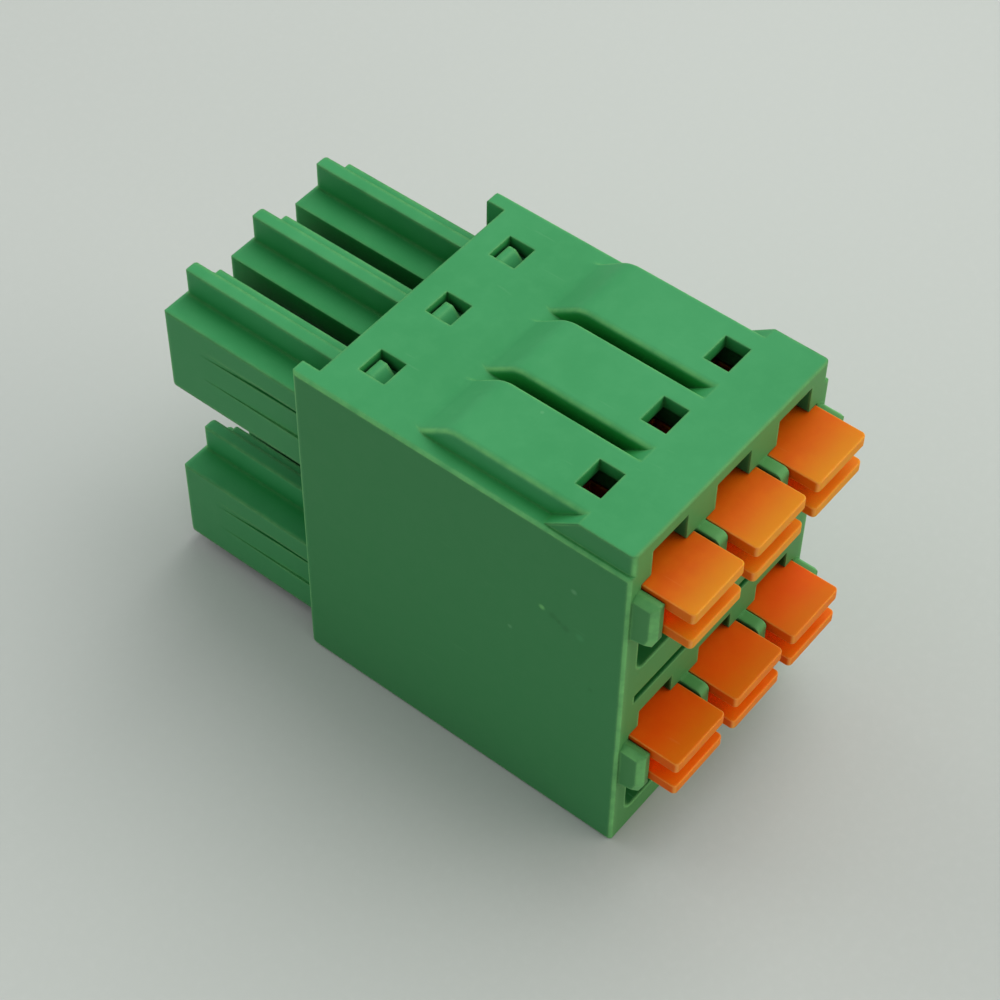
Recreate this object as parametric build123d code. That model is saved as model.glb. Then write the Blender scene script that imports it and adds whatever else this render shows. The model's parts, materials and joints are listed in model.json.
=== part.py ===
from build123d import *
import os

# Pluggable terminal block: two levels of three poles, with a push-in clamp at each pole.
# Sizes are in millimetres. X runs across the poles, the wires and buttons are at the front
# (towards -Y), the plug noses point to the back (+Y), and Z is up.
# Depths are measured from the front face of the housing, positive to the back.
# Heights of a level are measured from the base of that level.

# Poles and levels
poles = 3
levels = ("lower", "upper")
pole_pitch = 3.5
level_spacing = 8.45
bay_width = 2.95

# Housing shell
side_wall = 0.63
roof_wall = 0.65
floor_wall = 0.55
shell_length = 14.3
hood_depth = 0.8
ceiling_height = 6.1
bay_floor_height = 0.7
bay_length = 9.6
shell_corner = 0.35
panel_chamfer = 0.1
panel_rear_round = 0.28

# Roof: band along the front, one pad per pole, grooves between the pads
pad_rise = 1.0
pad_groove = 0.57
band_inset = 0.17
band_depth = 2.25
band_ramp = 1.35
pad_crest_depth = 7.9
pad_ramp = 1.4
pad_crest_round = 1.2
pad_foot_round = 0.8
pad_edge_chamfer = 0.08
pad_soft_edge = 0.22
band_corner = 0.2

# Windows through the roof and the floor
front_window_width = 1.3
front_window_depth = 2.33
front_window_length = 1.02
latch_window_width = 1.17
latch_window_length = 1.1
latch_window_margin = 0.98

# Button opening in the front face
front_wall = 2.4
opening_drop = 0.1
recess_width = 1.9
upper_recess_rise = 1.2
lower_recess_rise = 0.85
recess_depth = 4.2

# Wire funnel below each button
funnel_width = 2.7
funnel_drop = 0.5
funnel_roof = 0.35
funnel_depth = 1.6
funnel_corner = 0.5
wire_bore_width = 1.9
wire_bore_lift = 0.25
wire_bore_drop = 0.3
wire_bore_corner = 0.4

# Groove across the front face between the levels
groove_height = 0.42
groove_drop = 0.5
groove_depth = 1.0
groove_end_gap = 0.15

# Wings beside the outer buttons and thin ribs between the buttons
wing_setback = 0.01
wing_reach = 0.95
wing_drop = 0.22
wing_tip_drop = 0.1
wing_corner_drop = 0.6
wing_root_drop = 0.8
wing_corner_run = 0.2
wing_chamfer = 0.22
rib_setback = 0.035
rib_reach = 0.93
rib_lift = 0.15
rib_round = 0.25
guide_root = 0.2

# Push button
button_side_gap = 0.05
button_height = 1.8
button_proud = 2.05
button_shelf_gap = 0.05
button_roof_gap = 0.05
button_corner = 0.18
button_edge_chamfer = 0.05
slot_height = 0.85
slot_top_plate = 0.5
slot_depth = 1.8
hook_drop = 0.6
hook_gap = 0.08
wedge_gap = 0.08
wedge_nose = 0.3
probe_opening_margin = 0.12
probe_opening_end = 3.9

# Clamp spring
spring_thickness = 0.25
spring_width = 2.2
spring_bend_radius = 0.35
spring_bend_depth = 5.3
spring_rear_gap = 0.8
spring_leg_angle = 58.0
spring_tip_gap = 0.02

# Contact: current bar and fork
bar_thickness = 0.4
bar_width = 2.0
bar_lift = 0.2
bar_front_gap = 0.4
fork_wall = 0.3
fork_width = 1.8
fork_height = 1.8
fork_root_offset = 0.3
fork_root_length = 0.8
fork_neck = 0.6
fork_pinch_from_tip = 1.9
fork_pinch_gap = 0.7
fork_mouth_from_tip = 0.9

# Contact carrier: block inside the hood and one nose per pole
carrier_gap = 0.05
carrier_rear_margin = 0.2
carrier_split_gap = 0.1
contact_gap = 0.075
nose_tip_depth = 21.3
nose_wall = 0.195
nose_corner = 0.3
nose_root = 0.5
ridge_roof_gap = 0.45
ridge_height = 1.2
ridge_left = -0.1
ridge_right = 0.43
ridge_root = 0.3
ridge_corner = 0.24
ridge_tip_gap = 0.12
strip_corner = 0.12
strip_right = 0.8
strip_drop = 0.15
strip_tip_gap = 1.0
pocket_depth = 0.12
pocket_height = 1.45
pocket_shoulder_gap = 1.0
pocket_tip_gap = 1.7
pocket_undercut = 0.3
pocket_undercut_height = 0.24
socket_wall = 0.6
pin_opening = 1.2
pin_lead_in = 0.2
latch_hook_width = 0.85
latch_hook_side_gap = 0.04
latch_hook_gap = 0.12
latch_hook_sink = 0.15
latch_hook_crest = 0.35
latch_hook_round = 0.12

# Overlaps used while joining and cutting: a small bite, and a long run past a face
bite = 0.1
past = 1.0

# Derived sizes
housing_half_width = (poles - 1) * pole_pitch / 2 + bay_width / 2 + side_wall
housing_height = level_spacing + ceiling_height + roof_wall
pad_top = housing_height + pad_rise
overall_length = nose_tip_depth + button_proud
front_face_y = button_proud - overall_length / 2
roof_end_depth = shell_length - hood_depth
pad_width = pole_pitch - pad_groove
groove_level = level_spacing - groove_drop
button_width = bay_width - 2 * button_side_gap
opening_height = ceiling_height - opening_drop
button_top = opening_height - button_roof_gap
button_base = button_top - button_height
shelf_height = button_base - button_shelf_gap
funnel_top = shelf_height - funnel_roof
wire_bore_top = funnel_top - wire_bore_drop
bar_base = bay_floor_height + bar_lift
wire_bore_base = bar_base + bar_thickness + wire_bore_lift
funnel_base = wire_bore_base - funnel_drop
wing_tip_base = button_base - wing_tip_drop
wing_corner_base = button_base - wing_corner_drop
wing_root_base = button_base - wing_root_drop
rib_base = button_base + rib_lift
rib_thickness = pole_pitch - bay_width - 2 * rib_setback
carrier_split = (level_spacing + bay_floor_height + ceiling_height) / 2
ridge_top = ceiling_height - ridge_roof_gap
strip_top = ridge_top - strip_drop
nose_shoulder = ridge_top - ridge_height
pocket_top = nose_shoulder - pocket_shoulder_gap
pocket_base = pocket_top - pocket_height
bar_start_depth = front_wall + bar_front_gap
spring_fixed_leg = bay_length - spring_rear_gap - spring_bend_depth
nose_base = floor_wall + carrier_gap
nose_half_width = bar_width / 2 + contact_gap + nose_wall
carrier_rear_depth = roof_end_depth - carrier_rear_margin
fork_root_depth = carrier_rear_depth + fork_root_offset
fork_end = fork_root_depth + fork_root_length
fork_mouth_gap = fork_width - 2 * fork_wall
fork_pinch_depth = nose_tip_depth - fork_pinch_from_tip
fork_mouth_depth = nose_tip_depth - fork_mouth_from_tip
latch_window_end = roof_end_depth - latch_window_margin
latch_window_depth = latch_window_end - latch_window_length
latch_hook_offset = latch_hook_side_gap + (latch_hook_width - latch_window_width) / 2
recess_rises = {"lower": lower_recess_rise, "upper": upper_recess_rise}


def pole_x(pole):
    """Centre of a pole across the block, poles counted from 1 at the -X side."""
    return (pole - (poles + 1) / 2) * pole_pitch


def level_base(level):
    return levels.index(level) * level_spacing


def around(centre, width):
    return (centre - width / 2, centre + width / 2)


def block(x_range, depth_range, z_range):
    """Box between two limits along each direction."""
    x_low, x_high = x_range
    depth_low, depth_high = depth_range
    z_low, z_high = z_range
    centre = (
        (x_low + x_high) / 2,
        front_face_y + (depth_low + depth_high) / 2,
        (z_low + z_high) / 2,
    )
    return Pos(*centre) * Box(x_high - x_low, depth_high - depth_low, z_high - z_low)


def side_prism(outline, x_range, rounds=0.0):
    """Extrude an outline of (depth, height) points across the block."""
    x_low, x_high = x_range
    points = [(front_face_y + depth, height) for depth, height in outline]
    wire = FilletPolyline(*points, radius=rounds, close=True)
    face = make_face(Plane.YZ.offset(x_low) * wire)
    return extrude(face, amount=x_high - x_low, dir=(1, 0, 0))


def plan_prism(outline, z_range, rounds=0.0):
    """Extrude an outline of (x, depth) points upwards."""
    z_low, z_high = z_range
    points = [(x, front_face_y + depth) for x, depth in outline]
    wire = FilletPolyline(*points, radius=rounds, close=True)
    face = make_face(Plane.XY.offset(z_low) * wire)
    return extrude(face, amount=z_high - z_low, dir=(0, 0, 1))


def front_opening(x, depth, z_range, width, corner):
    """Rounded rectangle facing the front at a given depth."""
    z_low, z_high = z_range
    plane = Plane.XZ.offset(-front_face_y - depth)
    return plane * Pos(x, (z_low + z_high) / 2) * RectangleRounded(width, z_high - z_low, corner)


def make_funnel(x, base):
    """Tapered wire entry that narrows to the wire bore behind it."""
    bore_range = (base + wire_bore_base, base + wire_bore_top)
    mouth = front_opening(x, 0, (base + funnel_base, base + funnel_top), funnel_width, funnel_corner)
    throat = front_opening(x, funnel_depth, bore_range, wire_bore_width, wire_bore_corner)
    bore = extrude(throat, amount=front_wall - funnel_depth + bite, dir=(0, 1, 0))
    return loft([mouth, throat]) + bore


def raised_edges(pad, side):
    """Edges above the roof on one flank of a pad: side 0 at -X, side -1 at +X."""
    flank = pad.faces().filter_by(Axis.X).sort_by(Axis.X)[side]
    return [edge for edge in flank.edges() if edge.center().Z > housing_height + bite]


def make_roof_relief():
    """Raised band along the front and one ramped pad per pole."""
    root = housing_height - roof_wall / 2
    band_outline = [
        (0, root),
        (band_depth + band_ramp, root),
        (band_depth + band_ramp, housing_height),
        (band_depth, pad_top),
        (0, pad_top),
    ]
    band_reach = housing_half_width - band_inset
    relief = side_prism(band_outline, (-band_reach, band_reach))
    relief = fillet(relief.edges().filter_by(Axis.Z).group_by(Axis.Y)[0], band_corner)
    pad_foot = pad_crest_depth + pad_ramp
    pad_outline = [
        (0, root),
        (pad_foot + pad_ramp, root),
        (pad_foot + pad_ramp, housing_height),
        (pad_foot, housing_height),
        (pad_crest_depth, pad_top),
        (0, pad_top),
    ]
    rounds = [0, 0, 0, pad_foot_round, pad_crest_round, 0]
    for pole in range(1, poles + 1):
        pad = side_prism(pad_outline, around(pole_x(pole), pad_width), rounds)
        pad = chamfer(raised_edges(pad, -1), pad_edge_chamfer)
        relief += fillet(raised_edges(pad, 0), pad_soft_edge)
    return relief


def make_front_guides(base):
    """Outer wings and thin ribs that guide the buttons of one level."""
    wing_top = base + opening_height - wing_drop
    rib_top = base + opening_height
    wing_outline = [
        (guide_root, wing_top),
        (-wing_reach, wing_top),
        (-wing_reach, base + wing_tip_base),
        (wing_corner_run - wing_reach, base + wing_corner_base),
        (0, base + wing_root_base),
        (guide_root, base + wing_root_base),
    ]
    wing_outer = housing_half_width - band_inset
    wing_inner = housing_half_width - side_wall + wing_setback
    guides = []
    for side in (-1, 1):
        span = sorted((side * wing_outer, side * wing_inner))
        wing = side_prism(wing_outline, span)
        outer_face = wing.faces().sort_by(Axis.X)[0 if side < 0 else -1]
        free_edges = [
            edge for edge in outer_face.edges()
            if edge.center().Y < front_face_y + guide_root / 2
        ]
        guides.append(chamfer(free_edges, wing_chamfer))
    rib_outline = [
        (guide_root, rib_top),
        (-rib_reach, rib_top),
        (-rib_reach, base + rib_base),
        (guide_root, base + rib_base),
    ]
    for gap in range(1, poles):
        rib_x = (pole_x(gap) + pole_x(gap + 1)) / 2
        rib_span = around(rib_x, rib_thickness)
        guides.append(side_prism(rib_outline, rib_span, [0, rib_round, rib_round, 0]))
    return guides


def make_housing():
    half_width = housing_half_width
    outline = [(0, 0), (shell_length, 0), (shell_length, housing_height), (0, housing_height)]
    rounds = [panel_chamfer, shell_corner, panel_chamfer, 0]
    shell = side_prism(outline, (-half_width, half_width), rounds)
    shell = chamfer(shell.faces().filter_by(Axis.X).edges(), panel_chamfer)
    plan = [(-half_width, 0), (half_width, 0), (half_width, shell_length), (-half_width, shell_length)]
    shell &= plan_prism(plan, (0, housing_height), [0, 0, panel_rear_round, panel_rear_round])
    shell += make_roof_relief()

    # Rear hood: one cavity between the walls, with the roof and floor cut back
    inner = (-half_width + side_wall, half_width - side_wall)
    cavity_top = housing_height - roof_wall
    shell -= block(inner, (bay_length, shell_length + past), (floor_wall, cavity_top))
    for z_range in ((-past, floor_wall + bite), (cavity_top - bite, pad_top)):
        shell -= block(inner, (roof_end_depth, shell_length + past), z_range)

    # Bays for the buttons and clamps, open to the front
    for level in levels:
        base = level_base(level)
        for pole in range(1, poles + 1):
            x = pole_x(pole)
            bay = around(x, bay_width)
            shell -= block(bay, (front_wall, bay_length + bite),
                           (base + bay_floor_height, base + ceiling_height))
            shell -= block(bay, (-past, front_wall + bite),
                           (base + shelf_height, base + opening_height))
            shell -= block(around(x, recess_width), (-past, recess_depth),
                           (base + opening_height - bite, base + opening_height + recess_rises[level]))
            shell -= make_funnel(x, base)
        for guide in make_front_guides(base):
            shell += guide

    # Groove across the front face between the levels
    groove_half = half_width - side_wall - groove_end_gap
    shell -= block((-groove_half, groove_half), (-past, groove_depth),
                   around(groove_level, groove_height))

    # Windows: one row in the pads, one latch row at the back of the roof and of the floor
    pad_window = (front_window_depth, front_window_depth + front_window_length)
    latch_window = (latch_window_depth, latch_window_end)
    for pole in range(1, poles + 1):
        x = pole_x(pole)
        shell -= block(around(x, front_window_width), pad_window, (cavity_top - bite, pad_top + past))
        for z_range in ((cavity_top - bite, pad_top), (-past, floor_wall + bite)):
            shell -= block(around(x, latch_window_width), latch_window, z_range)
    return shell


def spring_bend_centre(base):
    """Centre of the spring's bend: (depth, height)."""
    outer = spring_bend_radius + spring_thickness
    return Vector(spring_bend_depth, base + ceiling_height - carrier_gap - outer)


def spring_leg_direction():
    """Direction of the clamping leg from the bend down to its tip."""
    return Vector(1, 0).rotate(Axis.Z, -spring_leg_angle)


def spring_leg_start(base, distance):
    """Where the clamping leg leaves the bend, at a distance from the bend's centre."""
    leg_normal = Vector(1, 0).rotate(Axis.Z, 270 - spring_leg_angle)
    return spring_bend_centre(base) + leg_normal * distance


def make_button(level, pole):
    """Slotted release button whose wedge face is parallel to the leg of the clamp spring."""
    x = pole_x(pole)
    base = level_base(level)
    low = base + button_base
    high = base + button_top
    hook_low = low - hook_drop
    hook_front = front_wall + hook_gap
    leg = spring_leg_direction()
    leg_face = spring_leg_start(base, spring_bend_radius + spring_thickness)

    def wedge_depth(height):
        return leg_face.X + (height - leg_face.Y) * leg.X / leg.Y - wedge_gap

    nose_depth = wedge_depth(high - wedge_nose)
    outline = [
        (-button_proud, low),
        (hook_front, low),
        (hook_front, hook_low),
        (wedge_depth(hook_low), hook_low),
        (nose_depth, high - wedge_nose),
        (nose_depth - wedge_nose, high),
        (-button_proud, high),
    ]
    button = side_prism(outline, around(x, button_width))
    front_corners = button.edges().filter_by(Axis.Z).group_by(Axis.Y)[0]
    button = fillet(front_corners, button_corner)
    slot_top = high - slot_top_plate
    slot_end = slot_depth - button_proud
    button -= block(around(x, button_width + past), (-button_proud - past, slot_end),
                    (slot_top - slot_height, slot_top))
    button -= block(around(x, recess_width),
                    (front_window_depth - probe_opening_margin, probe_opening_end),
                    (hook_low - past, high + past))
    # Break the rims of the two plates in front of the slot's end
    rims = [
        edge for edge in button.edges()
        if abs(edge.tangent_at(0.5).Z) < 0.5 and edge.center().Y < front_face_y + slot_end - bite
    ]
    return chamfer(rims, button_edge_chamfer)


def make_spring(level, pole):
    """Bent leaf: fixed leg along the ceiling, bend at the front, clamping leg down to the bar."""
    x_low = pole_x(pole) - spring_width / 2
    base = level_base(level)
    middle = spring_bend_radius + spring_thickness / 2
    to_front_face = Vector(front_face_y, 0)
    bend_centre = spring_bend_centre(base) + to_front_face
    leg_start = spring_leg_start(base, middle) + to_front_face
    tip_height = base + bar_base + bar_thickness + spring_tip_gap + spring_thickness / 2
    leg = spring_leg_direction()
    leg_length = (tip_height - leg_start.Y) / leg.Y
    bend_top = bend_centre + Vector(0, middle)
    bend_front = bend_centre + Vector(1, 0).rotate(Axis.Z, 180 - spring_leg_angle / 2) * middle
    centre_line = Line(bend_top + Vector(spring_fixed_leg, 0), bend_top)
    centre_line += ThreePointArc(bend_top, bend_front, leg_start)
    centre_line += Line(leg_start, leg_start + leg * leg_length)
    strip = Plane.YZ.offset(x_low) * trace(centre_line, spring_thickness)
    return extrude(strip, amount=spring_width, dir=(1, 0, 0))


def make_contact(level, pole):
    """Current bar under the wire, with a riser and two sprung arms for the pin."""
    x = pole_x(pole)
    low = level_base(level) + bar_base
    fork_range = (low, low + fork_height)
    contact = block(around(x, bar_width), (bar_start_depth, fork_end), (low, low + bar_thickness))
    contact += block(around(x, fork_width), (fork_root_depth, fork_end), fork_range)
    for side in (-1, 1):
        outer = side * fork_width / 2
        pinch = side * fork_pinch_gap / 2
        mouth = side * fork_mouth_gap / 2
        wall = side * fork_wall
        outline = [
            (x + outer, fork_end - bite),
            (x + outer, fork_end + fork_neck),
            (x + pinch + wall, fork_pinch_depth),
            (x + mouth + wall, fork_mouth_depth),
            (x + mouth, fork_mouth_depth),
            (x + pinch, fork_pinch_depth),
            (x + outer - wall, fork_end + fork_neck),
            (x + outer - wall, fork_end - bite),
        ]
        contact += plan_prism(outline, fork_range)
    return contact


def make_nose(x, base):
    """One plug nose: shouldered block with a stepped ridge along its top."""
    start = carrier_rear_depth - nose_root
    tip = nose_tip_depth
    body_range = (base + nose_base, base + nose_shoulder)
    body = block(around(x, 2 * nose_half_width), (start, tip), body_range)
    body = fillet(body.edges().group_by(Axis.Y)[-1], nose_corner)
    ridge_low = base + nose_shoulder - ridge_root
    steps = [
        (ridge_tip_gap, ridge_top, ridge_corner, (x + ridge_left, x + ridge_right)),
        (strip_tip_gap, strip_top, strip_corner, (x + ridge_right - bite, x + strip_right)),
    ]
    for tip_gap, step_top, corner, x_range in steps:
        step = block(x_range, (start, tip - tip_gap), (ridge_low, base + step_top))
        tip_face = step.faces().sort_by(Axis.Y)[-1]
        rounded = tip_face.edges().filter_by(Axis.Z) + tip_face.edges().sort_by(Axis.Z)[-1:]
        body += fillet(rounded, corner)

    # Flank pocket that grows deeper towards the housing, undercut along its upper side
    side = x - nose_half_width
    undercut_base = pocket_top - pocket_undercut_height
    for depth, low in ((pocket_depth, pocket_base), (pocket_undercut, undercut_base)):
        pocket = [
            (side - past, start - past),
            (side + depth, start - past),
            (side + depth, carrier_rear_depth),
            (side, tip - pocket_tip_gap),
            (side - past, tip - pocket_tip_gap),
        ]
        body -= plan_prism(pocket, (base + low, base + pocket_top))
    return body


def make_carrier(level):
    """Insert with one nose per pole, hollow for the contacts, with latch hooks."""
    base = level_base(level)
    half_width = housing_half_width - side_wall - carrier_gap
    front = bay_length + carrier_gap
    if level == "upper":
        z_range = (carrier_split + carrier_split_gap / 2, housing_height - roof_wall - carrier_gap)
        hook_root = z_range[1]
        hook_crest = housing_height - latch_hook_sink
    else:
        z_range = (floor_wall + carrier_gap, carrier_split - carrier_split_gap / 2)
        hook_root = z_range[0]
        hook_crest = latch_hook_sink
    carrier = block((-half_width, half_width), (front, carrier_rear_depth), z_range)
    hook_end = latch_window_end - latch_hook_gap
    hook_outline = [
        (latch_window_depth + latch_hook_gap, hook_root),
        (hook_end, hook_root),
        (hook_end, hook_crest),
        (hook_end - latch_hook_crest, hook_crest),
    ]
    hook_rounds = [0, 0, latch_hook_round, latch_hook_round]
    for pole in range(1, poles + 1):
        x = pole_x(pole)
        carrier += make_nose(x, base)
        carrier += side_prism(hook_outline, around(x + latch_hook_offset, latch_hook_width), hook_rounds)

    # Passages for the contacts: bar from the front, arms in the nose, pin opening at the tip
    low = base + bar_base
    passage_range = (low, low + fork_height + contact_gap)
    for pole in range(1, poles + 1):
        x = pole_x(pole)
        carrier -= block(around(x, bar_width + 2 * contact_gap),
                         (front - past, fork_end + contact_gap), passage_range)
        carrier -= block(around(x, fork_width + 2 * contact_gap),
                         (front, nose_tip_depth - socket_wall), passage_range)
        carrier -= block(around(x, pin_opening), (nose_tip_depth - past, nose_tip_depth + past),
                         around(low + fork_height / 2, pin_opening))
    tip_faces = carrier.faces().sort_by(Axis.Y)[-poles:]
    lead_in_edges = [edge for face in tip_faces for wire in face.inner_wires() for edge in wire.edges()]
    return chamfer(lead_in_edges, pin_lead_in)


def main():
    os.makedirs("parts", exist_ok=True)
    nodes = {"housing": make_housing()}
    for level in levels:
        nodes[level + "_contact_carrier"] = make_carrier(level)
        for pole in range(1, poles + 1):
            tag = f"{level}_{pole}"
            nodes["push_button_" + tag] = make_button(level, pole)
            nodes["clamp_spring_" + tag] = make_spring(level, pole)
            nodes["contact_" + tag] = make_contact(level, pole)
    for name, solid in nodes.items():
        export_step(solid, f"parts/{name}.step")


main()
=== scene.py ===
import json
import math

import bmesh
import bpy
from mathutils import Matrix, Vector

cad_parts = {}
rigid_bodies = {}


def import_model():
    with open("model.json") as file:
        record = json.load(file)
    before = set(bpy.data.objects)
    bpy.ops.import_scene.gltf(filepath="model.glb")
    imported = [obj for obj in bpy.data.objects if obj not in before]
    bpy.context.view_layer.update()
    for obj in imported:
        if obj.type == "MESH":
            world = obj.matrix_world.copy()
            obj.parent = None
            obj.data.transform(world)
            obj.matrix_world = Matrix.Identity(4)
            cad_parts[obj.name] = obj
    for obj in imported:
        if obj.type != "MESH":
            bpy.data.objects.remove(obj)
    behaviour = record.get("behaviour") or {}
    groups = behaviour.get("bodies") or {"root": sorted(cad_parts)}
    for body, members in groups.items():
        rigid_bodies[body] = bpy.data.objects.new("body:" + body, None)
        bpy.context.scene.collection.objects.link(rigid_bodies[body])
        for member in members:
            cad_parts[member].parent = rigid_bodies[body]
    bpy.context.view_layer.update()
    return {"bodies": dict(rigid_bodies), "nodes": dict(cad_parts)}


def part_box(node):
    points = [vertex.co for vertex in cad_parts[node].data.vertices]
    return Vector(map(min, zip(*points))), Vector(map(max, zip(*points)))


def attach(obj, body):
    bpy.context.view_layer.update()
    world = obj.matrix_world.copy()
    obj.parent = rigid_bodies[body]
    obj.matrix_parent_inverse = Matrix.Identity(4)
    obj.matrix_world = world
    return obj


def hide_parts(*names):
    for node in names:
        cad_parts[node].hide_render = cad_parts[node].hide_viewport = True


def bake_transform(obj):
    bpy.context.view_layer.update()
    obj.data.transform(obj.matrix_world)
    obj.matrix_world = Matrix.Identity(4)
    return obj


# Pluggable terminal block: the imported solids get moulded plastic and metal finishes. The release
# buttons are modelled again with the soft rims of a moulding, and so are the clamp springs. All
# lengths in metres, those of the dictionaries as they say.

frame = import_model()
nodes = frame["nodes"]
poles = [body[len("button_"):] for body in sorted(frame["bodies"]) if body.startswith("button_")]
millimetre = 0.001
hair = 1e-6                 # places closer than this count as one
print("frame loaded:", len(nodes), "nodes")


class Amount:
    # a socket, so that sums written on it add Math nodes
    def __init__(self, recipe, socket):
        self.recipe = recipe
        self.socket = socket

    def sum(self, operation, first, second):
        made = self.recipe.node("ShaderNodeMath", {"operation": operation}, {0: first, 1: second})
        return made.out(0)

    def __add__(self, other):
        return self.sum("ADD", self, other)

    def __radd__(self, other):
        return self.sum("ADD", other, self)

    def __sub__(self, other):
        return self.sum("SUBTRACT", self, other)

    def __rsub__(self, other):
        return self.sum("SUBTRACT", other, self)

    def __mul__(self, other):
        return self.sum("MULTIPLY", self, other)

    def __rmul__(self, other):
        return self.sum("MULTIPLY", other, self)


class Step:
    # one node of a recipe; out() picks the socket that goes on
    def __init__(self, recipe, made):
        self.recipe = recipe
        self.made = made

    def out(self, which=0):
        return Amount(self.recipe, self.made.outputs[which])


class Recipe:
    # a material and its nodes
    def __init__(self, name):
        self.material = bpy.data.materials.new(name)
        self.material.use_nodes = True
        self.tree = self.material.node_tree
        self.tree.nodes.clear()
        self.place = self.node("ShaderNodeTexCoord").out("Object")

    def node(self, kind, settings=None, inputs=None):
        made = self.tree.nodes.new(kind)
        for key, value in (settings or {}).items():
            setattr(made, key, value)
        for key, value in (inputs or {}).items():
            if isinstance(value, Amount):
                self.tree.links.new(value.socket, made.inputs[key])
            else:
                made.inputs[key].default_value = value
        return Step(self, made)

    def cloud(self, size, detail=2.0, roughness=0.5, stretch=(1, 1, 1), turn=(0, 0, 0)):
        # soft noise whose blotches are about this many millimetres wide
        spread = self.node("ShaderNodeMapping", {}, {
            "Vector": self.place, "Scale": stretch,
            "Rotation": [math.radians(angle) for angle in turn]}).out()
        return self.node("ShaderNodeTexNoise", {}, {
            "Vector": spread, "Scale": 1 / (size * millimetre), "Detail": detail,
            "Roughness": roughness}).out(0)

    def between(self, value, low, high, toLow=0.0, toHigh=1.0):
        # eases from toLow to toHigh as the value goes from low to high
        return self.node("ShaderNodeMapRange", {"interpolation_type": "SMOOTHSTEP"}, {
            0: value, 1: low, 2: high, 3: toLow, 4: toHigh}).out()

    def along(self, vector, axis):
        return self.node("ShaderNodeSeparateXYZ", {}, {0: vector}).out(axis)

    def larger(self, first, second):
        return self.node("ShaderNodeMath", {"operation": "MAXIMUM"}, {0: first, 1: second}).out()

    def rise(self, axis, ends):
        # 0 to 1 along an axis, between two places in millimetres
        start, end = (place * millimetre for place in ends)
        return self.between(self.along(self.place, axis), start, end)

    def near(self, point, size, fade=(1.6, 0.3)):
        # 1 within about this many millimetres of a point, fading outside
        gap = self.node("ShaderNodeVectorMath", {"operation": "DISTANCE"}, {
            0: self.place, 1: [length * millimetre for length in point]}).out(1)
        outer, inner = (share * size * millimetre for share in fade)
        return self.between(gap, outer, inner)

    def blend(self, share, first, second):
        # the first colour where the share is 0, the second where it is 1
        return self.node("ShaderNodeMix", {"data_type": "RGBA"}, {0: share, 6: first, 7: second}).out(2)

    def finish(self, shader):
        self.node("ShaderNodeOutputMaterial", {}, {"Surface": shader.out()})
        return self.material


def colour(red, green, blue):
    # a colour as read from the photograph, 0 to 255, made linear
    def linear(part):
        part = part / 255
        return part / 12.92 if part <= 0.04045 else ((part + 0.055) / 1.055) ** 2.4
    return (linear(red), linear(green), linear(blue), 1)


def openness(recipe, reach, alone=True):
    # 1 on open surfaces, towards 0 in corners and slots narrower than the reach, in millimetres;
    # alone sees one piece only
    return recipe.node("ShaderNodeAmbientOcclusion", {"samples": 4, "only_local": alone}, {
        "Distance": reach * millimetre}).out("AO")


def edgeShare(recipe, radius, low, high):
    # rounded normal of the surface, and how near an edge a point lies
    soft = recipe.node("ShaderNodeBevel", {"samples": 3}, {"Radius": radius * millimetre}).out()
    straight = recipe.node("ShaderNodeNewGeometry").out("Normal")
    match = recipe.node("ShaderNodeVectorMath", {"operation": "DOT_PRODUCT"}, {
        0: soft, 1: straight}).out(1)
    return soft, recipe.between(1 - match, low, high)


# what all the mouldings share; lengths in millimetres, and a mask goes from its first value, where
# it is 0, to its second, where it is 1
mouldingLook = {
    "clouds": {
        "broad": {"size": 5.0, "detail": 2},
        "blotch": {"size": 0.8, "detail": 3, "roughness": 0.6},
        "flow": {"size": 0.5, "detail": 2, "stretch": (1, 0.12, 1), "turn": (4, 0, 3)},
        "grain": {"size": 0.055, "detail": 2, "roughness": 0.7},
        "rub": {"size": 0.16, "detail": 1, "stretch": (1, 0.1, 1), "turn": (0, 12, 24)},
    },
    "masks": {
        "broad": (0.3, 0.7), "blotch": (0.35, 0.75), "flow": (0.62, 0.8), "rub": (0.74, 0.8),
        "speck": (0.05, 0.035), "lone": (0.55, 0.6), "wornAndHighlit": (0.25, 0.65),
        "upright": (0.7, 0.3), "turned": (0.05, 0.22), "bare": (0.5, 0.75), "sideways": (0.6, 0.9),
        "closedShade": (0.22, 0.05),
    },
    "edgeFrom": 0.003, "turnedShare": 0.7, "hollowFrom": 0.85,
    "flankFade": 0.95, "leastFade": 1e-8,       # share of the flank's start; square metres
    "flankSpared": 0.6,                         # how much of the painted warm light on the front the flanks don't get
    "closedReach": 3.5, "closedShadeShare": 0.96,
    "bump": {"depth": 0.004, "grain": 0.6, "blotch": 0.25, "flow": 0.15, "rub": 0.5},
    "rough": {"blotch": 0.16, "rub": 0.15, "edge": 0.06},
    "ior": 1.5,
}


def wornAndHighlitEdges(recipe, look, openShare):
    # edge wear with a painted highlight: corners that are rounded in the solid count too, upright ones
    # most; inner corners stay out
    masks = mouldingLook["masks"]
    soft, edge = edgeShare(recipe, look["edgeRadius"], mouldingLook["edgeFrom"], look["edgeFull"])
    across, level = recipe.along(soft, "X"), recipe.along(soft, "Z")
    upright = recipe.between(level * level, *masks["upright"], look["levelEdges"], 1.0)
    turned = recipe.between(across * across * (1 - across * across), *masks["turned"])
    edge = recipe.larger(edge, turned * mouldingLook["turnedShare"])
    return soft, edge * upright * recipe.between(openShare, *masks["bare"])


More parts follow.
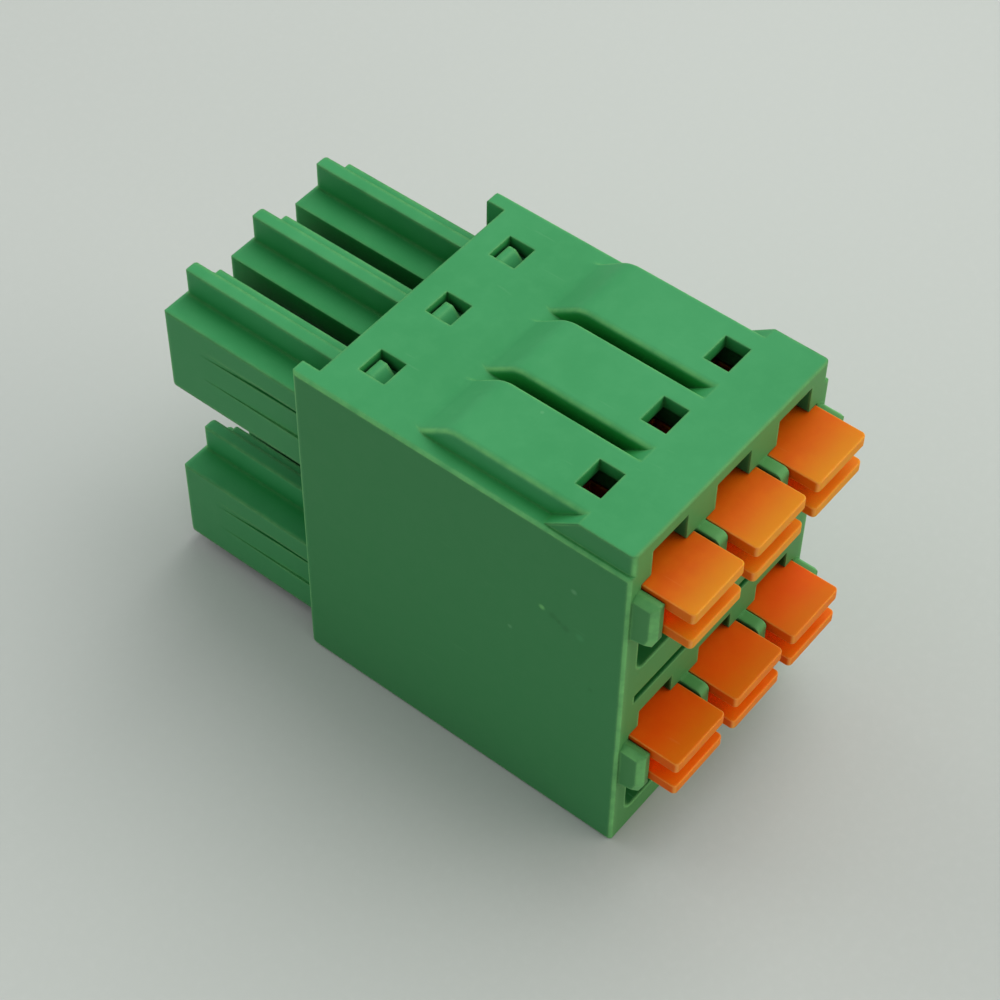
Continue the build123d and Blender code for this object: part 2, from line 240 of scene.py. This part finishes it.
def rubsAndSpecks(recipe, look):
    # fine rubs, and the odd speck of dust
    masks = mouldingLook["masks"]
    rub = recipe.between(recipe.cloud(**mouldingLook["clouds"]["rub"]), *masks["rub"])
    cells = recipe.node("ShaderNodeTexVoronoi", {}, {
        "Vector": recipe.place, "Scale": 1 / (look["speckSpacing"] * millimetre)})
    lone = recipe.node("ShaderNodeSeparateColor", {}, {0: cells.out("Color")}).out(0)
    speck = recipe.between(cells.out("Distance"), *masks["speck"]) * recipe.between(lone, *masks["lone"])
    return rub, speck


def funnelsAndBays(recipe, look):
    # where a painted shade darkens the funnels and bays: behind the front face, below the roof and
    # between the side walls
    outward = recipe.along(recipe.place, "X")
    outer, inner = ((length * millimetre) ** 2 for length in look["innerWidth"])
    between = recipe.between(outward * outward, outer, inner)
    return recipe.rise("Y", look["innerDepth"]) * recipe.rise("Z", look["innerHeight"]) * between


def mouldedPlastic(name, look, marks=()):
    recipe = Recipe(name)
    shared, masks = mouldingLook, mouldingLook["masks"]
    openShare = openness(recipe, look["hollowReach"])
    soft, edge = wornAndHighlitEdges(recipe, look, openShare)
    rub, speck = rubsAndSpecks(recipe, look)
    broad, blotch, flow, grain = (
        recipe.cloud(**shared["clouds"][kind]) for kind in ("broad", "blotch", "flow", "grain"))
    body = recipe.blend(recipe.between(broad, *masks["broad"]), look["deep"], look["body"])
    for cloud, kind in ((blotch, "blotch"), (flow, "flow")):
        share = recipe.between(cloud, *masks[kind]) * look[kind + "Share"]
        body = recipe.blend(share, body, look["pale"])

    # painted light and shade: a painted shade on the sideways flanks, a painted warm light on the front,
    # and a deeper painted shade in hollows, funnels and bays
    facing = recipe.along(recipe.node("ShaderNodeNewGeometry").out("Normal"), "X")
    outward = recipe.along(recipe.place, "X")
    flankFrom = look["flankFrom"] * millimetre
    fadeFrom = (shared["flankFade"] * flankFrom) ** 2 - shared["leastFade"]
    flank = recipe.between(facing * facing, *masks["sideways"]) * recipe.between(
        outward * outward, fadeFrom, flankFrom ** 2)
    body = recipe.blend(flank * look["flankShare"], body, look["flank"])
    paintedFrontLight = recipe.rise("Y", look["aheadRange"])
    offFlanks = 1 - facing * facing * shared["flankSpared"]
    body = recipe.blend(paintedFrontLight * look["aheadShare"] * offFlanks, body, look["paintedFrontLight"])
    hollow = recipe.between(openShare, shared["hollowFrom"], look["hollowFull"])
    hollow = hollow * (1 - paintedFrontLight * look["aheadClears"])
    body = recipe.blend(hollow * look["hollowShare"], body, look["hollow"])
    # painted shade in the funnels and bays
    if look["innerShare"]:
        body = recipe.blend(funnelsAndBays(recipe, look) * look["innerShare"], body, look["inner"])
    for kind, place, size, share in marks:
        body = recipe.blend(recipe.near(place, size) * share, body, look[kind])

    # edge wear with a painted highlight, and dust, on top, and a painted shade, nearly black, where other
    # pieces close it in
    wornAndHighlit = edge * recipe.between(blotch, *masks["wornAndHighlit"], look["wornAndHighlitLeast"], 1.0)
    body = recipe.blend(wornAndHighlit * look["edgeShare"], body, look["edge"])
    body = recipe.blend(rub * look["rubShare"] + speck * look["speckShare"], body, look["dust"])
    closedShade = recipe.between(openness(recipe, shared["closedReach"], alone=False), *masks["closedShade"])
    body = recipe.blend(closedShade * shared["closedShadeShare"], body, look["darkShadeAndScratch"])

    bump, rough = shared["bump"], shared["rough"]
    height = grain * bump["grain"] + blotch * bump["blotch"] + flow * bump["flow"] - rub * bump["rub"]
    bumped = recipe.node("ShaderNodeBump", {}, {
        "Height": height, "Strength": look["grainStrength"], "Distance": bump["depth"] * millimetre,
        "Normal": soft}).out()
    uneven = (blotch - 0.5) * rough["blotch"]
    roughness = look["roughness"] + uneven + rub * rough["rub"] - edge * rough["edge"]
    finish = {
        "Base Color": body, "Roughness": roughness, "Normal": bumped, "IOR": shared["ior"],
        "Specular IOR Level": look["gloss"],
        "Subsurface Weight": look["glow"], "Subsurface Radius": look["glowRadius"],
        "Subsurface Scale": look["glowDepth"] * millimetre}
    if look["throughStrength"]:
        # a painted glow: the slot gives off light of its own, standing in for the light that comes
        # through the thin front plates
        inFront = recipe.rise("Y", look["throughRange"])
        finish["Emission Color"] = recipe.blend(
            hollow * inFront * (1 - closedShade), colour(0, 0, 0), look["through"])
        finish["Emission Strength"] = look["throughStrength"]
        recipe.material.cycles.emission_sampling = "NONE"
    return recipe.finish(recipe.node("ShaderNodeBsdfPrincipled", {}, finish))


# depths, heights, widths, reaches and radii in millimetres
greenLook = {
    "body": colour(63, 153, 94), "deep": colour(57, 147, 88), "pale": colour(80, 165, 107),
    "blotchShare": 0.22, "flowShare": 0.14,
    # edge wear with a painted highlight on the edges
    "edge": colour(130, 208, 122), "edgeRadius": 0.16, "edgeFull": 0.08, "edgeShare": 0.95,
    "levelEdges": 0.42, "wornAndHighlitLeast": 0.45,
    "dust": colour(128, 190, 140), "rubShare": 0.1, "speckShare": 0.2, "speckSpacing": 1.9,
    # painted shade on the flanks, in hollows and in the funnels and bays, and a painted warm light on the
    # front
    "flank": colour(62, 136, 80), "flankShare": 1.0, "flankFrom": 5.5,
    "hollow": colour(20, 146, 48), "hollowShare": 0.8, "hollowReach": 1.6, "hollowFull": 0.3,
    "paintedFrontLight": colour(94, 144, 78), "aheadShare": 0.7, "aheadRange": (-9.45, -9.65), "aheadClears": 0.7,
    "inner": colour(2, 84, 22), "innerShare": 0.85,
    "innerDepth": (-9.66, -9.54), "innerHeight": (14.3, 14.0), "innerWidth": (5.4, 5.2),
    # nearly black painted shade where other pieces close it in, also the colour of dark scratches
    "darkShadeAndScratch": colour(4, 20, 4), "throughStrength": 0.0,
    "roughness": 0.52, "gloss": 0.16, "grainStrength": 0.35,
    "glow": 0.0, "glowRadius": (0.5, 1.0, 0.25), "glowDepth": 0.6,
}
# carriers: their own painted flank shade, and a full painted shade in their hollows
carrierLook = dict(
    greenLook, flank=colour(66, 146, 88), flankFrom=4.7, edgeRadius=0.22, innerShare=0.0,
    hollow=colour(0, 130, 50), hollowShare=1.0, hollowReach=2.0, hollowFull=0.42)
upperOrangeLook = {
    "body": colour(224, 100, 2), "deep": colour(216, 90, 0), "pale": colour(232, 116, 12),
    "blotchShare": 0.3, "flowShare": 0.2,
    # edge wear with a painted highlight on the edges
    "edge": colour(250, 174, 84), "edgeRadius": 0.08, "edgeFull": 0.16, "edgeShare": 0.95,
    "levelEdges": 0.8, "wornAndHighlitLeast": 0.6,
    "dust": colour(250, 190, 120), "rubShare": 0.06, "speckShare": 0.15, "speckSpacing": 2.6,
    # painted shade on the flanks and in the slot, and a painted light towards the front
    "flank": colour(226, 92, 2), "flankShare": 0.4, "flankFrom": 0,
    "hollow": colour(250, 60, 0), "hollowShare": 0.9, "hollowReach": 1.0, "hollowFull": 0.3,
    "paintedFrontLight": colour(220, 144, 26), "aheadShare": 0.9, "aheadRange": (-10.1, -11.9), "aheadClears": 0.0,
    "innerShare": 0.0,
    # nearly black painted shade where other pieces close it in, and a painted glow in the slot
    "darkShadeAndScratch": colour(14, 6, 0),
    "through": colour(226, 58, 0), "throughStrength": 1.0, "throughRange": (-9.8, -10.4),
    "roughness": 0.5, "gloss": 0.1, "grainStrength": 0.3,
    "glow": 0.5, "glowRadius": (1.0, 0.32, 0.05), "glowDepth": 0.6,
}
# the lower row is a redder copy: painted shade under the upper row, with its orange bounce light painted
# in
lowerShadedOrangeLook = dict(
    upperOrangeLook, body=colour(240, 92, 0), deep=colour(234, 84, 0), pale=colour(244, 106, 8),
    paintedFrontLight=colour(218, 118, 8))
# small chips and scuffs on the panel at -X: kind, place in millimetres, size, share
panelMarks = [
    ("edge", (-5.6, -6.2, 11.09), 0.11, 0.6), ("dust", (-5.6, -7.47, 12.94), 0.11, 0.35),
    ("dust", (-5.6, -4.88, 8.92), 0.09, 0.3), ("pale", (-5.6, -7.8, 10.72), 0.16, 0.3),
    ("darkShadeAndScratch", (-5.6, -6.67, 10.98), 0.16, 0.14), ("darkShadeAndScratch", (-5.6, -6.92, 10.86), 0.12, 0.16),
    ("darkShadeAndScratch", (-5.6, -7.2, 10.73), 0.16, 0.14), ("darkShadeAndScratch", (-5.6, -8.34, 8.23), 0.1, 0.1),
]

# sizes in millimetres
metalLook = {
    "spring": {"body": colour(176, 178, 182), "shade": colour(140, 140, 146), "roughness": 0.28},
    "contact": {"body": colour(206, 203, 192), "shade": colour(178, 172, 156), "roughness": 0.36},
    "lines": {"size": 0.06, "detail": 3, "stretch": (1, 0.05, 1)},
    "patch": {"size": 0.9, "detail": 2}, "patchRange": (0.3, 0.7),
    "edge": colour(225, 225, 222), "edgeShare": 0.5, "edgeRadius": 0.04, "edgeRange": (0.01, 0.2),
    "rough": {"lines": 0.14, "patch": 0.1, "edge": 0.08},
    "bumpStrength": 0.3, "bumpDepth": 0.002,
}


def rolledMetal(name, kind):
    # strip metal with the fine lines of its rolling, duller in patches
    recipe = Recipe(name)
    look, rough = metalLook[kind], metalLook["rough"]
    soft, edge = edgeShare(recipe, metalLook["edgeRadius"], *metalLook["edgeRange"])
    lines = recipe.cloud(**metalLook["lines"])
    patch = recipe.cloud(**metalLook["patch"])
    body = recipe.blend(recipe.between(patch, *metalLook["patchRange"]), look["shade"], look["body"])
    body = recipe.blend(edge * metalLook["edgeShare"], body, metalLook["edge"])
    roughness = look["roughness"] + lines * rough["lines"] + patch * rough["patch"] - edge * rough["edge"]
    bumped = recipe.node("ShaderNodeBump", {}, {
        "Height": lines, "Strength": metalLook["bumpStrength"],
        "Distance": metalLook["bumpDepth"] * millimetre, "Normal": soft}).out()
    return recipe.finish(recipe.node("ShaderNodeBsdfPrincipled", {}, {
        "Base Color": body, "Roughness": roughness, "Metallic": 1.0, "Normal": bumped}))


def dress(node, material):
    node.data.materials.clear()
    node.data.materials.append(material)


greenShell = mouldedPlastic("greenShellPlastic", greenLook, panelMarks)
greenCarrier = mouldedPlastic("greenCarrierPlastic", carrierLook)
upperOrange = mouldedPlastic("upperButtonPlastic", upperOrangeLook)
lowerShadedOrange = mouldedPlastic("lowerShadedButtonPlastic", lowerShadedOrangeLook)
springSteel = rolledMetal("springSteelStrip", "spring")
tinnedStrip = rolledMetal("tinnedStrip", "contact")
for name, node in nodes.items():
    if name == "housing":
        dress(node, greenShell)
    elif name.endswith("carrier"):
        dress(node, greenCarrier)
    elif name.startswith("contact"):
        dress(node, tinnedStrip)
print("plastics and metals made")


def nothingSelected():
    if bpy.context.object and bpy.context.object.mode == "EDIT":
        bpy.ops.object.mode_set(mode="OBJECT")
    bpy.ops.object.select_all(action="DESELECT")


def pick(piece, kind, test):
    # selects the faces or edges of the edited mesh that pass a test on their centre and direction
    bpy.context.tool_settings.mesh_select_mode = (False, kind == "edges", kind == "faces")
    bpy.ops.mesh.select_all(action="DESELECT")
    shape = bmesh.from_edit_mesh(piece.data)
    for part in getattr(shape, kind):
        if kind == "faces":
            chosen = test(part.calc_center_median(), part.normal)
        else:
            ends = [corner.co for corner in part.verts]
            chosen = test((ends[0] + ends[1]) / 2, (ends[1] - ends[0]).normalized())
        part.select_set(chosen)
    shape.select_flush_mode()
    bmesh.update_edit_mesh(piece.data)


def cut(point, normal, clearOuter=False):
    bpy.ops.mesh.select_all(action="SELECT")
    bpy.ops.mesh.bisect(plane_co=point, plane_no=normal, use_fill=clearOuter, clear_outer=clearOuter)


roundingLook = {
    "rimAngle": 40, "smoothAngle": 35, "flatAngle": 1,      # degrees between two faces
}


def roundRims(piece, width, steps):
    rims = piece.modifiers.new("rims", "BEVEL")
    rims.width = width
    rims.segments = steps
    rims.limit_method = "ANGLE"
    rims.angle_limit = math.radians(roundingLook["rimAngle"])
    bpy.ops.object.modifier_apply(modifier=rims.name)


def copyPiece(master, name, shift):
    nothingSelected()
    master.select_set(True)
    bpy.context.view_layer.objects.active = master
    bpy.ops.object.duplicate(linked=False)
    piece = bpy.context.object
    piece.name = name
    piece.location = shift
    bpy.ops.object.transform_apply(location=True, rotation=False, scale=False)


buttonLook = {
    "sizes": {              # millimetres; proud of the housing's front face, starts from there back
        "proud": 2.05, "hookStart": 2.48, "hookDrop": 0.6,
        "topPlate": 0.5, "slot": 0.85, "slotDepth": 1.8,
        "corner": 0.18, "rim": 0.045, "noseCut": 0.3,
        "probeWidth": 1.9, "probeStart": 2.21, "probeLength": 1.69,
    },
    "legAngle": 58, "cornerSteps": 6, "rimSteps": 3,
}


def modelButton(name):
    # a slotted push button: a bar with a hook below, a wedge end and a slot across its front
    look = {key: value * millimetre for key, value in buttonLook["sizes"].items()}
    low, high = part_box("push_button_upper_1")
    centre = (low + high) / 2
    capLow = low.z + look["hookDrop"]
    nothingSelected()
    bpy.ops.mesh.primitive_cube_add(
        size=1, location=(centre.x, centre.y, (capLow + high.z) / 2),
        scale=(high.x - low.x, high.y - low.y, high.z - capLow))
    bpy.ops.object.transform_apply(location=True, rotation=False, scale=True)
    button = bpy.context.object
    button.name = name
    bpy.ops.object.mode_set(mode="EDIT")

    # hook: the underside behind the housing's front wall goes down
    hookAt = low.y + look["proud"] + look["hookStart"]
    cut((0, hookAt, 0), (0, 1, 0))
    pick(button, "faces", lambda place, facing: facing.z < -0.5 and place.y > hookAt)
    bpy.ops.mesh.extrude_region_move(TRANSFORM_OT_translate={"value": (0, 0, -look["hookDrop"])})

    # wedge: one slanted cut along the spring's leg and a small one above it
    angle = math.radians(buttonLook["legAngle"])
    cut((centre.x, high.y, low.z), (0, math.sin(angle), math.cos(angle)), clearOuter=True)
    noseTop = high.z - look["noseCut"]
    noseAt = high.y - (noseTop - low.z) / math.tan(angle)
    cut((centre.x, noseAt, noseTop), (0, 1, 1), clearOuter=True)

    # rounded front corners
    pick(button, "edges", lambda place, along: abs(along.z) > 0.99 and place.y < low.y + hair)
    bpy.ops.mesh.bevel(offset=look["corner"], segments=buttonLook["cornerSteps"], affect="EDGES")

    # slot: open to the front and both sides, then closed by its floor, roof and end
    slotTop = high.z - look["topPlate"]
    slotLow = slotTop - look["slot"]
    slotEnd = low.y + look["slotDepth"]
    cut((0, 0, slotTop), (0, 0, 1))
    cut((0, 0, slotLow), (0, 0, 1))
    cut((0, slotEnd, 0), (0, 1, 0))
    pick(button, "faces", lambda place, facing: slotLow < place.z < slotTop and place.y < slotEnd)
    bpy.ops.mesh.delete(type="FACE")
    for level in (slotTop, slotLow):
        pick(button, "edges", lambda place, along: abs(place.z - level) < hair
             and place.y < slotEnd - hair)
        bpy.ops.mesh.edge_face_add()
    pick(button, "edges", lambda place, along: abs(place.y - slotEnd) < hair
         and slotLow - hair < place.z < slotTop + hair)
    bpy.ops.mesh.edge_face_add()
    bpy.ops.mesh.select_all(action="SELECT")
    bpy.ops.mesh.remove_doubles(threshold=hair / 10)
    bpy.ops.mesh.dissolve_limited(angle_limit=math.radians(roundingLook["flatAngle"]))
    bpy.ops.mesh.select_all(action="SELECT")
    bpy.ops.mesh.normals_make_consistent(inside=False)
    bpy.ops.object.mode_set(mode="OBJECT")

    # probe opening: a plain bar taken out, straight down
    openingAt = low.y + look["proud"] + look["probeStart"] + look["probeLength"] / 2
    bpy.ops.mesh.primitive_cube_add(
        size=1, location=(centre.x, openingAt, centre.z),
        scale=(look["probeWidth"], look["probeLength"], 2 * (high.z - low.z)))
    bar = bpy.context.object
    bpy.context.view_layer.objects.active = button
    opening = button.modifiers.new("opening", "BOOLEAN")
    opening.operation = "DIFFERENCE"
    opening.object = bar
    bpy.ops.object.modifier_apply(modifier=opening.name)
    bpy.data.objects.remove(bar)

    roundRims(button, look["rim"], buttonLook["rimSteps"])
    bpy.ops.object.shade_smooth_by_angle(angle=math.radians(roundingLook["smoothAngle"]))
    return button


firstButton = modelButton("releaseButton_upper_1")
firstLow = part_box("push_button_upper_1")[0]
for tag in poles:
    if tag != "upper_1":
        copyPiece(firstButton, "releaseButton_" + tag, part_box("push_button_" + tag)[0] - firstLow)
for tag in poles:
    button = bpy.data.objects["releaseButton_" + tag]
    dress(button, upperOrange if tag.startswith("upper") else lowerShadedOrange)
    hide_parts("push_button_" + tag)
    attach(button, "button_" + tag)
print("release buttons modelled")


springLook = {
    "thickness": 0.25, "bend": 0.475, "rim": 0.03,  # millimetres; the bend's radius is to mid-strip
    "legAngle": 58, "bendSteps": 12, "rimSteps": 2,
    # where the strip stays still and where it goes along: depth from the bend, height from the top
    "staysFrom": (0.325, -0.125), "goesFrom": (-0.035, -0.605),
}


def bendCentre(low, high):
    reach = (springLook["bend"] + springLook["thickness"] / 2) * millimetre
    return Vector(((low.x + high.x) / 2, low.y + reach, high.z - reach))


def modelSpring(name):
    # bent leaf: a flat strip on top, turned round at the front and led down to the current bar
    low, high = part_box("clamp_spring_upper_1")
    thickness, bend = springLook["thickness"] * millimetre, springLook["bend"] * millimetre
    angle = math.radians(springLook["legAngle"])
    turn = bendCentre(low, high)
    nothingSelected()
    bpy.ops.mesh.primitive_plane_add(size=1, location=(turn.x, (turn.y + high.y) / 2, turn.z + bend))
    spring = bpy.context.object
    spring.name = name
    spring.scale = (high.x - low.x, high.y - turn.y, 1)
    bpy.ops.object.transform_apply(location=True, rotation=False, scale=True)
    bpy.ops.object.mode_set(mode="EDIT")
    pick(spring, "edges", lambda place, along: place.y < turn.y + hair)
    bpy.ops.mesh.spin(
        steps=springLook["bendSteps"], angle=angle - math.pi, center=turn, axis=(1, 0, 0))
    drop = turn.z - bend * math.cos(angle) - low.z - thickness / 2 * math.cos(angle)
    bpy.ops.mesh.extrude_region_move(
        TRANSFORM_OT_translate={"value": (0, drop / math.tan(angle), -drop)})
    bpy.ops.object.mode_set(mode="OBJECT")
    strip = spring.modifiers.new("strip", "SOLIDIFY")
    strip.thickness = thickness
    strip.offset = 0
    bpy.ops.object.modifier_apply(modifier=strip.name)
    roundRims(spring, springLook["rim"] * millimetre, springLook["rimSteps"])
    bpy.ops.object.mode_set(mode="EDIT")
    bpy.ops.mesh.select_all(action="SELECT")
    bpy.ops.mesh.normals_make_consistent(inside=False)
    bpy.ops.object.mode_set(mode="OBJECT")
    bpy.ops.object.shade_smooth_by_angle(angle=math.radians(roundingLook["smoothAngle"]))
    return spring


firstSpring = modelSpring("clampSpring_upper_1")
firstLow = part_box("clamp_spring_upper_1")[0]
for tag in poles:
    if tag != "upper_1":
        copyPiece(firstSpring, "clampSpring_" + tag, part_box("clamp_spring_" + tag)[0] - firstLow)
for tag in poles:
    spring = bpy.data.objects["clampSpring_" + tag]
    dress(spring, springSteel)
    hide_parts("clamp_spring_" + tag)
    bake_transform(spring)
print("clamp springs modelled")


floorLook = {
    "size": 1.6,            # metres; the clouds in millimetres
    "pale": colour(198, 203, 199), "dim": colour(184, 189, 185), "fibre": colour(204, 208, 205),
    "broadCloud": {"size": 60, "detail": 1}, "broadRange": (0.3, 0.7), "dimShare": 0.5,
    "fibreCloud": {"size": 0.4, "detail": 3, "roughness": 0.6}, "fibreRange": (0.4, 0.8),
    "fibreShare": 0.15, "bumpStrength": 0.1, "bumpDepth": 0.01, "roughness": 0.9, "gloss": 0.2,
}


def layFloor():
    nothingSelected()
    bpy.ops.mesh.primitive_plane_add(size=floorLook["size"], location=(0, 0, 0))
    floor = bpy.context.object
    floor.name = "paperFloor"
    recipe = Recipe("palePaper")
    broad = recipe.between(recipe.cloud(**floorLook["broadCloud"]), *floorLook["broadRange"])
    fibre = recipe.cloud(**floorLook["fibreCloud"])
    fibreMask = recipe.between(fibre, *floorLook["fibreRange"])
    sheet = recipe.blend(broad * floorLook["dimShare"], floorLook["pale"], floorLook["dim"])
    sheet = recipe.blend(fibreMask * floorLook["fibreShare"], sheet, floorLook["fibre"])
    bumped = recipe.node("ShaderNodeBump", {}, {
        "Height": fibre, "Strength": floorLook["bumpStrength"],
        "Distance": floorLook["bumpDepth"] * millimetre}).out()
    dress(floor, recipe.finish(recipe.node("ShaderNodeBsdfPrincipled", {}, {
        "Base Color": sheet, "Roughness": floorLook["roughness"], "Normal": bumped,
        "Specular IOR Level": floorLook["gloss"]})))


layFloor()

lightLook = {
    "sky": (0.97, 0.99, 1.0), "skyStrength": 0.46,
    "panels": {             # metres and watts
        "keyPanel": {
            "place": (0.19, -0.03, 0.34), "size": 0.34, "power": 0.86, "tint": (1.0, 1.0, 0.97)},
        "frontPanel": {
            "place": (0.14, -0.32, 0.16), "size": 0.3, "power": 0.48, "tint": (1.0, 0.96, 0.88)},
        "backPanel": {
            "place": (-0.05, 0.36, 0.2), "size": 0.3, "power": 0.3, "tint": (1.0, 1.0, 0.94)},
    },
}


def hangLights():
    world = bpy.data.worlds.new("paleRoom")
    bpy.context.scene.world = world
    world.use_nodes = True
    room = world.node_tree.nodes["Background"]
    room.inputs["Color"].default_value = (*lightLook["sky"], 1)
    room.inputs["Strength"].default_value = lightLook["skyStrength"]
    for name, panel in lightLook["panels"].items():
        lamp = bpy.data.lights.new(name, "AREA")
        lamp.shape = "SQUARE"
        lamp.size = panel["size"]
        lamp.energy = panel["power"]
        lamp.color = panel["tint"]
        hung = bpy.data.objects.new(name, lamp)
        bpy.context.scene.collection.objects.link(hung)
        hung.location = panel["place"]
        hung.rotation_euler = (-Vector(panel["place"])).to_track_quat("-Z", "Y").to_euler()


hangLights()

cameraLook = {
    "place": (-0.04708, -0.036685, 0.07898), "clip": (0.001, 10),    # metres
    "azimuth": -52.08, "elevation": 50.47, "roll": 0.87,            # degrees
    "lens": 92.4, "sensor": 36,                 # millimetres
}


def setCamera():
    azimuth, elevation, roll = (
        math.radians(cameraLook[key]) for key in ("azimuth", "elevation", "roll"))
    back = Vector((math.sin(azimuth) * math.cos(elevation), -math.cos(azimuth) * math.cos(elevation),
                   math.sin(elevation)))
    right = Vector((math.cos(azimuth), math.sin(azimuth), 0))
    up = back.cross(right)
    across = right * math.cos(roll) + up * math.sin(roll)
    upward = up * math.cos(roll) - right * math.sin(roll)
    lens = bpy.data.cameras.new("photoView")
    lens.sensor_width = cameraLook["sensor"]
    lens.lens = cameraLook["lens"]
    lens.clip_start, lens.clip_end = cameraLook["clip"]
    camera = bpy.data.objects.new("photoView", lens)
    bpy.context.scene.collection.objects.link(camera)
    camera.matrix_world = Matrix((
        (across.x, upward.x, back.x, cameraLook["place"][0]),
        (across.y, upward.y, back.y, cameraLook["place"][1]),
        (across.z, upward.z, back.z, cameraLook["place"][2]),
        (0, 0, 0, 1)))
    bpy.context.scene.camera = camera


setCamera()
bpy.context.scene.view_settings.view_transform = "Standard"
print("floor, lights and camera set")
